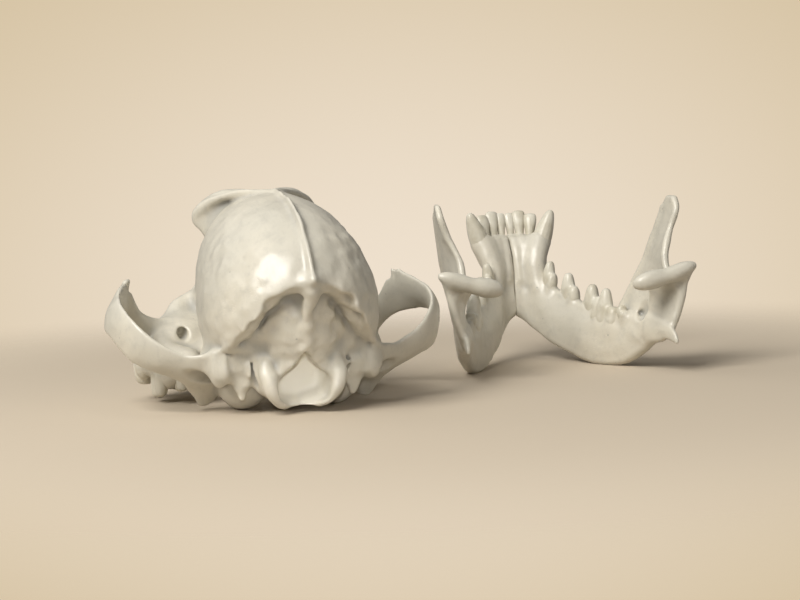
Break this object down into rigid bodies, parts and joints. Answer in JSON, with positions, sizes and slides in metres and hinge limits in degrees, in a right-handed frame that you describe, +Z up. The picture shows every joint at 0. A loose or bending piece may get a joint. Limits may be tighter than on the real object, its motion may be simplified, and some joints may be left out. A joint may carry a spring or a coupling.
{
  "type": "dog skull",
  "caption": "Bleached skull of a short-faced dog at life size, with the lower jaw lying on the table beside the cranium, for display, study or drawing.",
  "frame": {"origin": "on the table, below the middle of the box around the cranium and the lower jaw", "axes": "+Y towards the nose of the cranium, +X to the animal's right, where the lower jaw lies, +Z up"},
  "size_m": [0.207, 0.146, 0.0703],
  "materials": {
    "bone": "cleaned dry bone and enamel, pale grey-ivory, satin"
  },
  "bodies": {
    "root": {"braincase": "bone", "occiput": "bone", "upper_jaw": "bone", "zygomatic_arch_left": "bone", "zygomatic_arch_right": "bone", "mandible_left": "bone", "mandible_right": "bone"}
  },
  "joints": []
}
